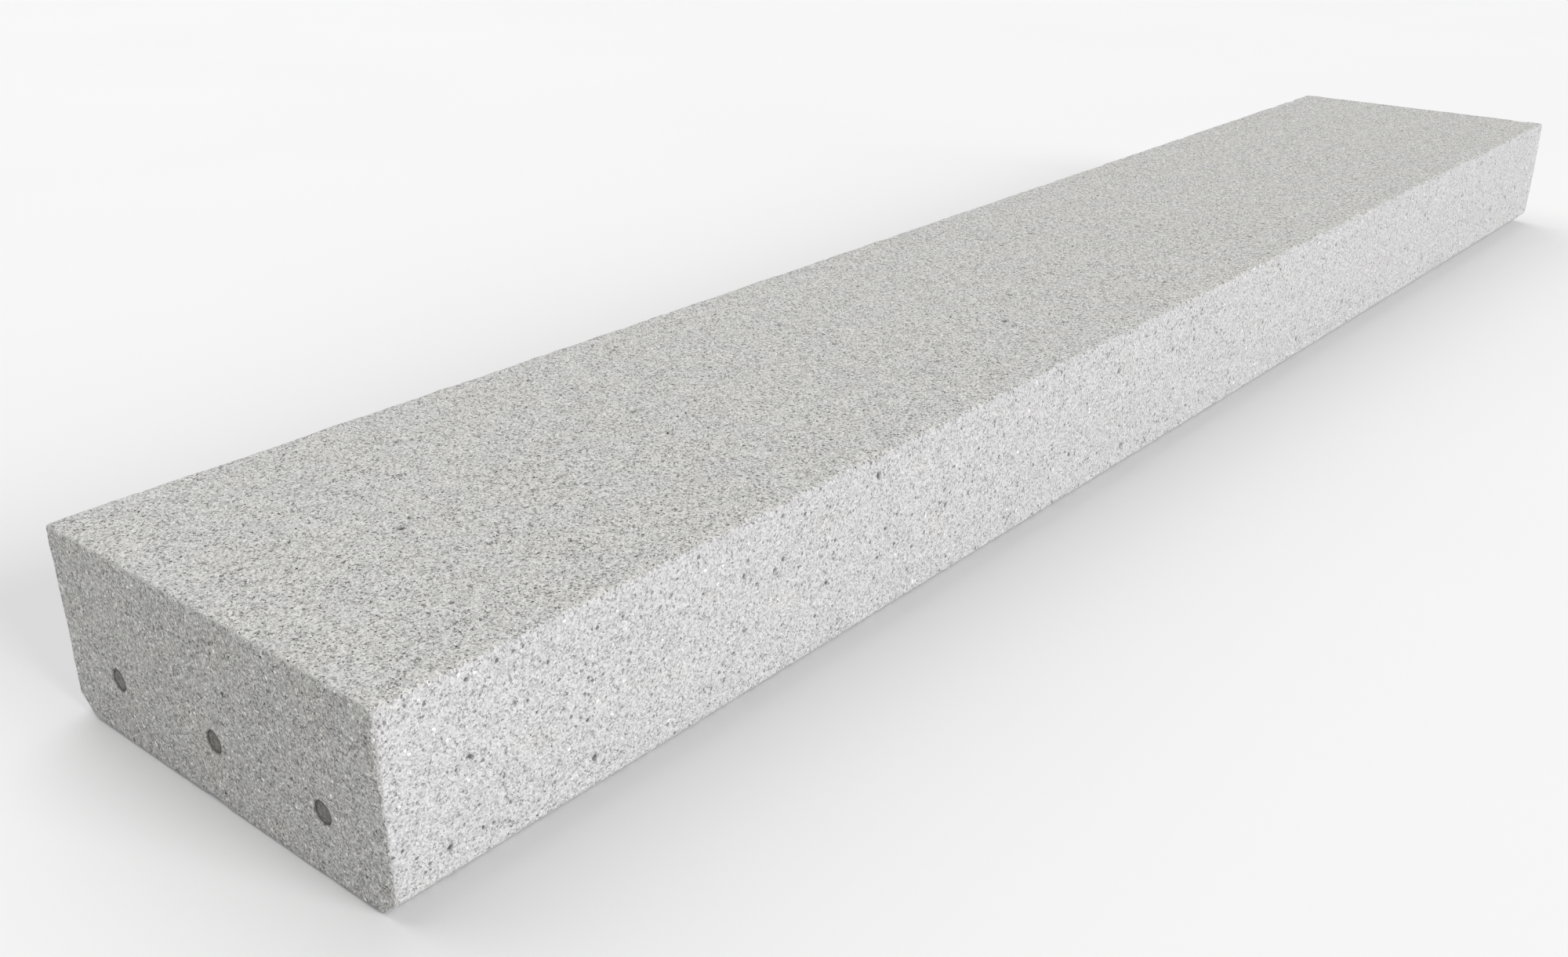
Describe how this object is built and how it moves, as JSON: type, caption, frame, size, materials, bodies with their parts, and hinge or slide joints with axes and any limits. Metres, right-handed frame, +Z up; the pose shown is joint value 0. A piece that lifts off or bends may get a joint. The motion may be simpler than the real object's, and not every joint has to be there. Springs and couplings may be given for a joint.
{
  "type": "precast concrete lintel",
  "caption": "Straight rectangular precast concrete lintel with bottom chamfers, prestressed by steel wires low in its section, that carries masonry over an opening.",
  "frame": {"origin": "centre of the underside, at mid length and mid width", "axes": "+X along the lintel, +Y across it towards the back face, +Z up in use, away from the chamfered underside"},
  "size_m": [1, 0.175, 0.071],
  "materials": {
    "concrete": "matte",
    "wire_steel": "matte"
  },
  "bodies": {
    "root": {"concrete_body": "concrete", "front_wire": "wire_steel", "middle_wire": "wire_steel", "back_wire": "wire_steel"}
  },
  "joints": []
}
